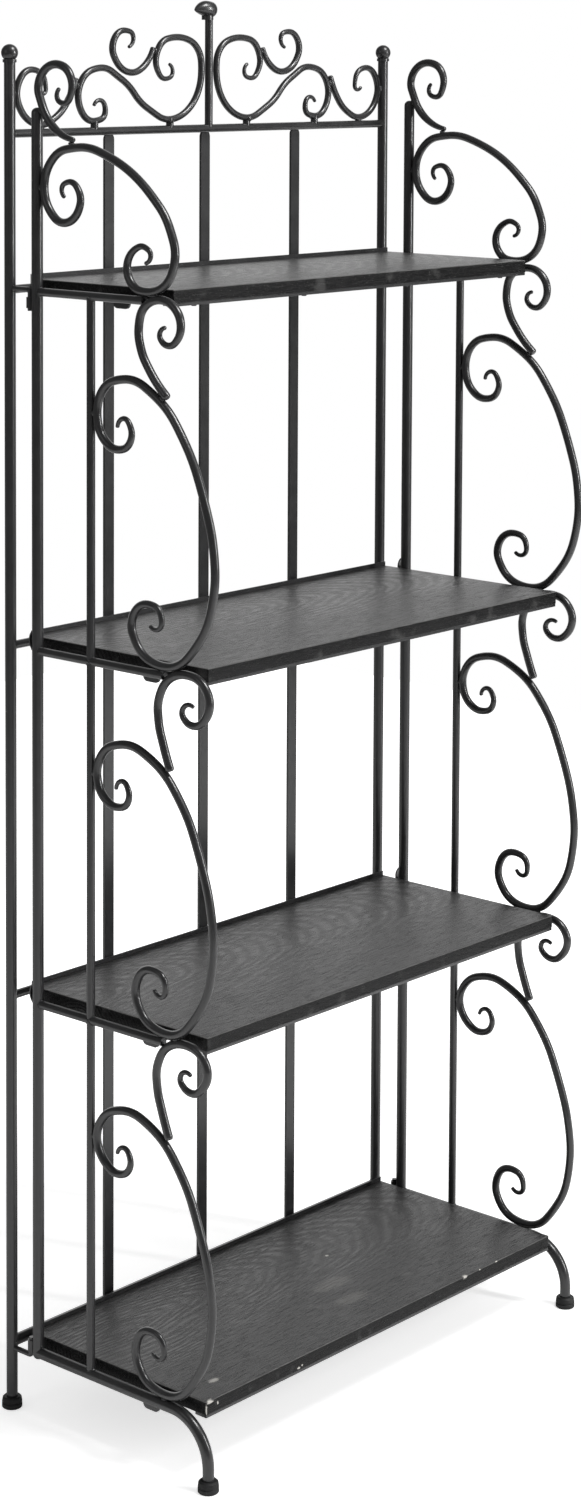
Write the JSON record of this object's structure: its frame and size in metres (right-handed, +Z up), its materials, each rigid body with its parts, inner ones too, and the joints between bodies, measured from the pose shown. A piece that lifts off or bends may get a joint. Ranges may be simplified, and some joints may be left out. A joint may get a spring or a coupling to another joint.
{
  "type": "folding bakers rack",
  "caption": "Tall folding bakers rack: scrolled black steel side panels, slatted back panel with a crest, and hinged black wood-look shelves.",
  "frame": {"origin": "floor level, at mid width, midway between the front and the back feet", "axes": "+Z up, +X to the rack's right seen from the front, -Y to the front"},
  "size_m": [0.663, 0.3264, 1.5894],
  "materials": {
    "black_steel": "satin black powder coat",
    "black_wood": "black stained board with an embossed grain, satin",
    "rubber": "matte black rubber",
    "screw_steel": "black oxide"
  },
  "bodies": {
    "back_panel": {"back_left_post": "black_steel", "back_right_post": "black_steel", "back_rubber_feet": "rubber", "back_slats": "black_steel", "crest_end_scrolls": "black_steel", "crest_s_scrolls": "black_steel", "crest_spindle": "black_steel", "crest_spindle_finial": "black_steel", "crest_studs": "black_steel", "crest_upper_scrolls": "black_steel", "cross_rails": "black_steel", "hinge_hooks": "black_steel", "post_ball_finials": "black_steel", "shelf_hinge_lugs": "black_steel", "shelf_hinge_pins": "screw_steel", "top_rail": "black_steel"},
    "left_side": {"left_c_scroll_1": "black_steel", "left_c_scroll_2": "black_steel", "left_c_scroll_3": "black_steel", "left_c_scroll_4": "black_steel", "left_hinge_barrels": "black_steel", "left_leg_rail": "black_steel", "left_mid_upright": "black_steel", "left_rear_upright": "black_steel", "left_rubber_foot": "rubber", "left_s_scrolls": "black_steel", "left_shelf_brackets": "black_steel", "left_side_rails": "black_steel", "left_stop_bows": "black_steel", "left_top_scroll": "black_steel"},
    "right_side": {"right_c_scroll_1": "black_steel", "right_c_scroll_2": "black_steel", "right_c_scroll_3": "black_steel", "right_c_scroll_4": "black_steel", "right_hinge_barrels": "black_steel", "right_leg_rail": "black_steel", "right_mid_upright": "black_steel", "right_rear_upright": "black_steel", "right_rubber_foot": "rubber", "right_s_scrolls": "black_steel", "right_shelf_brackets": "black_steel", "right_side_rails": "black_steel", "right_stop_bows": "black_steel", "right_top_scroll": "black_steel"},
    "shelf_1": {"shelf_1_board": "black_wood", "shelf_1_front_strip": "black_steel", "shelf_1_rear_angle": "black_steel", "shelf_1_screws": "screw_steel"},
    "shelf_2": {"shelf_2_board": "black_wood", "shelf_2_front_strip": "black_steel", "shelf_2_rear_angle": "black_steel", "shelf_2_screws": "screw_steel"},
    "shelf_3": {"shelf_3_board": "black_wood", "shelf_3_front_strip": "black_steel", "shelf_3_rear_angle": "black_steel", "shelf_3_screws": "screw_steel"},
    "shelf_4": {"shelf_4_board": "black_wood", "shelf_4_front_strip": "black_steel", "shelf_4_rear_angle": "black_steel", "shelf_4_screws": "screw_steel"}
  },
  "joints": [
    {"name": "left_side_swing", "type": "hinge", "parent": "back_panel", "child": "left_side", "pos_m": [-0.32, 0.11945, 0.66], "axis": [0, 0, 1], "range_deg": [-90, 0]},
    {"name": "right_side_swing", "type": "hinge", "parent": "back_panel", "child": "right_side", "pos_m": [0.32, 0.11945, 0.66], "axis": [0, 0, 1], "range_deg": [0, 90]},
    {"name": "shelf_1_fold", "type": "hinge", "parent": "back_panel", "child": "shelf_1", "pos_m": [0, 0.1397, 1.2754], "axis": [-1, 0, 0], "range_deg": [0, 90]},
    {"name": "shelf_2_fold", "type": "hinge", "parent": "back_panel", "child": "shelf_2", "pos_m": [0, 0.1397, 0.8785], "axis": [-1, 0, 0], "range_deg": [0, 90]},
    {"name": "shelf_3_fold", "type": "hinge", "parent": "back_panel", "child": "shelf_3", "pos_m": [0, 0.1397, 0.4816], "axis": [-1, 0, 0], "range_deg": [0, 90]},
    {"name": "shelf_4_fold", "type": "hinge", "parent": "back_panel", "child": "shelf_4", "pos_m": [0, 0.1397, 0.083], "axis": [-1, 0, 0], "range_deg": [0, 90]}
  ]
}
